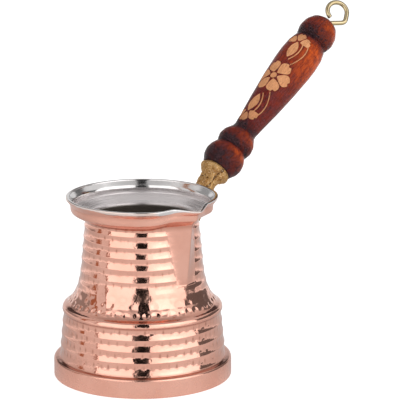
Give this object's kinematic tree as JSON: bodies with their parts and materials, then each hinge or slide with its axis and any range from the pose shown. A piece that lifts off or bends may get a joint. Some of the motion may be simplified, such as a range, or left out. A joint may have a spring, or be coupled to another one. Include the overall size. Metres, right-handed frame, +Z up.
{
  "type": "turkish coffee pot",
  "caption": "Long-handled copper coffee pot for the stove: hammered waisted body, tinned inside, side pouring spout, carved wooden handle with a brass bracket and a hanging eye.",
  "frame": {"origin": "centre of the underside of the base", "axes": "+Z up along the pot's axis, +X towards the handle, -Y towards the pouring spout"},
  "size_m": [0.1989, 0.09, 0.1744],
  "materials": {
    "copper": "polished hammered copper",
    "tinning": "wiped tin, bright, with spin lines",
    "cast_brass": "rough cast, satin",
    "rivet_copper": "hammered",
    "lacquered_wood": "red-brown lacquer over a carved and scorched grip",
    "brass_wire": "drawn wire, bright"
  },
  "bodies": {
    "pot": {"copper_body": "copper", "tin_lining": "tinning", "handle_bracket": "cast_brass", "bracket_rivets": "rivet_copper"},
    "grip": {"wood_handle": "lacquered_wood"},
    "hook": {"hook_rod": "brass_wire"}
  },
  "joints": [
    {"name": "grip_slide", "type": "slide", "parent": "pot", "child": "grip", "axis": [0.788, 0, 0.6157], "range_m": [0, 0.008]},
    {"name": "hook_turn", "type": "hinge", "parent": "grip", "child": "hook", "pos_m": [0.0542, 0, 0.0969], "axis": [0.788, 0, 0.6157], "range_deg": [0, 5761]}
  ],
  "couplings": [
    {"joint": "hook_turn", "follows": "grip_slide", "rad_per_m": 12566}
  ]
}
